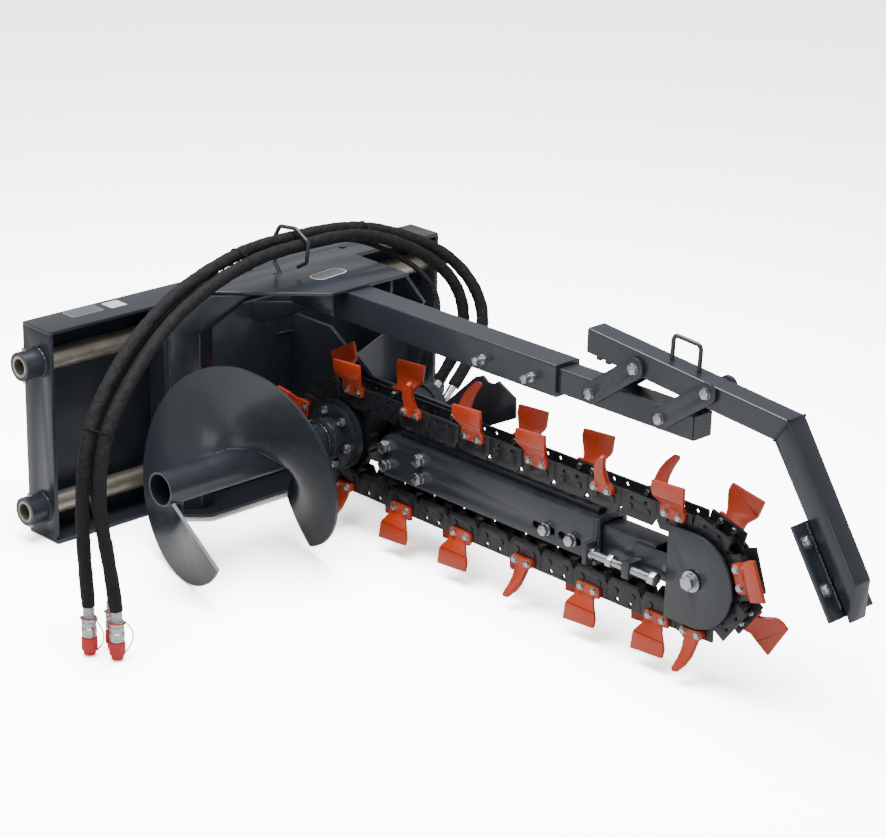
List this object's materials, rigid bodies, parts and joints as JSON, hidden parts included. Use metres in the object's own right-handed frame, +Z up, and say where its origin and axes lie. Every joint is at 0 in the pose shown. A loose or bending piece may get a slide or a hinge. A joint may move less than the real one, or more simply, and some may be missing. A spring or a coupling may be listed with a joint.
{
  "type": "chain trencher attachment",
  "caption": "Side-shifting chain trencher attachment: mounting frame, sliding carriage, boom with digging chain, spoil auger, crumber shoe on lift links and hydraulic hoses.",
  "frame": {"origin": "underside of the mounting frame at its front edge, mid width", "axes": "+X along the mounting frame towards the motor, -Y along the boom, +Z up"},
  "size_m": [1.6426, 2.078, 0.7579],
  "materials": {
    "body_paint": "satin gloss",
    "satin_paint": "satin",
    "slide_steel": "oiled",
    "zinc_steel": "zinc plated",
    "chain_black": "satin",
    "tooth_paint": "satin",
    "motor_iron": "painted",
    "hose_cover": "woven sleeve",
    "cap_plastic": "matte"
  },
  "bodies": {
    "frame": {"frame_top_plate": "body_paint", "frame_bottom_plate": "body_paint", "frame_end_plates": "body_paint", "frame_back_plate": "body_paint", "slide_tubes": "slide_steel", "slide_tube_collars": "body_paint", "slide_collar_screws": "zinc_steel"},
    "carriage": {"carriage_top_plate": "body_paint", "carriage_back_plate": "body_paint", "carriage_bottom_plate": "body_paint", "carriage_left_leg": "body_paint", "carriage_right_leg": "body_paint", "carriage_gussets": "body_paint", "carriage_saddle_webs": "body_paint", "carriage_slide_sleeves": "body_paint", "drive_plate": "satin_paint", "bar_mount_block": "satin_paint", "bar_mount_bolts": "zinc_steel", "hydraulic_motor": "motor_iron", "motor_port_fittings": "zinc_steel", "chain_outer_plates": "chain_black", "chain_inner_plates": "chain_black", "chain_rollers": "chain_black", "chain_pins": "chain_black", "cup_teeth": "tooth_paint", "claw_teeth": "tooth_paint", "tooth_bolts": "zinc_steel", "digging_bar": "satin_paint", "bar_rim_and_guides": "satin_paint", "crumber_outer_tube": "body_paint", "crumber_clamp_screws": "zinc_steel", "hose_guide": "body_paint", "pressure_hose": "hose_cover", "return_hose": "hose_cover", "drain_hose": "hose_cover", "hose_couplers": "zinc_steel", "dust_caps": "cap_plastic"},
    "auger_drive": {"drive_hub": "motor_iron", "drive_sprocket": "chain_black", "auger_neck_flange": "body_paint", "hub_bolts": "zinc_steel", "auger_tube": "body_paint", "auger_flight": "body_paint"},
    "bar_nose": {"nose_extension": "satin_paint", "extension_clamp_bolts": "zinc_steel", "nose_fork_arms": "satin_paint", "nose_plates": "satin_paint", "nose_axle": "zinc_steel"},
    "tail_roller": {"nose_roller": "chain_black"},
    "tension_spindle": {"tension_screw": "zinc_steel"},
    "crumber_slider": {"crumber_inner_tube": "body_paint", "lower_pivot_bolts": "zinc_steel"},
    "rear_links": {"lift_links_rear": "body_paint"},
    "front_links": {"lift_links_front": "body_paint"},
    "crumber_arm": {"crumber_arm_upper": "body_paint", "crumber_arm_lower": "body_paint", "upper_pivot_bolts": "zinc_steel", "crumber_handle": "body_paint", "crumber_shoe": "body_paint", "crumber_shoe_bolts": "zinc_steel"}
  },
  "joints": [
    {"name": "side_shift", "type": "slide", "parent": "frame", "child": "carriage", "axis": [1, 0, 0], "range_m": [-0.29, 0.4]},
    {"name": "drive_spin", "type": "hinge", "parent": "carriage", "child": "auger_drive", "pos_m": [0, -0.36, 0.242], "axis": [1, 0, 0], "continuous": true},
    {"name": "nose_slide", "type": "slide", "parent": "carriage", "child": "bar_nose", "axis": [0, 1, 0], "range_m": [0, 0.03]},
    {"name": "tail_roller_spin", "type": "hinge", "parent": "bar_nose", "child": "tail_roller", "pos_m": [0, -1.50288, 0.242], "axis": [1, 0, 0], "continuous": true},
    {"name": "spindle_turn", "type": "hinge", "parent": "carriage", "child": "tension_spindle", "pos_m": [-0.079, -1.3, 0.222], "axis": [0, 1, 0], "range_deg": [0, 4325]},
    {"name": "crumber_slide", "type": "slide", "parent": "carriage", "child": "crumber_slider", "axis": [0, -1, 0], "range_m": [-0.05, 0.15]},
    {"name": "rear_link_lift", "type": "hinge", "parent": "crumber_slider", "child": "rear_links", "pos_m": [-0.014, -1.178, 0.574], "axis": [-1, 0, 0], "range_deg": [-5, 60]},
    {"name": "front_link_lift", "type": "hinge", "parent": "crumber_slider", "child": "front_links", "pos_m": [-0.014, -1.38, 0.574], "axis": [-1, 0, 0], "range_deg": [-5.1, 60.1]},
    {"name": "arm_level", "type": "hinge", "parent": "rear_links", "child": "crumber_arm", "pos_m": [-0.014, -1.301, 0.665], "axis": [-1, 0, 0], "range_deg": [-60.1, 5.1]}
  ],
  "couplings": [
    {"joint": "tail_roller_spin", "follows": "drive_spin", "ratio": 1},
    {"joint": "spindle_turn", "follows": "nose_slide", "rad_per_m": 2513.3},
    {"joint": "front_link_lift", "follows": "rear_link_lift", "ratio": 1},
    {"joint": "arm_level", "follows": "rear_link_lift", "ratio": -1}
  ]
}
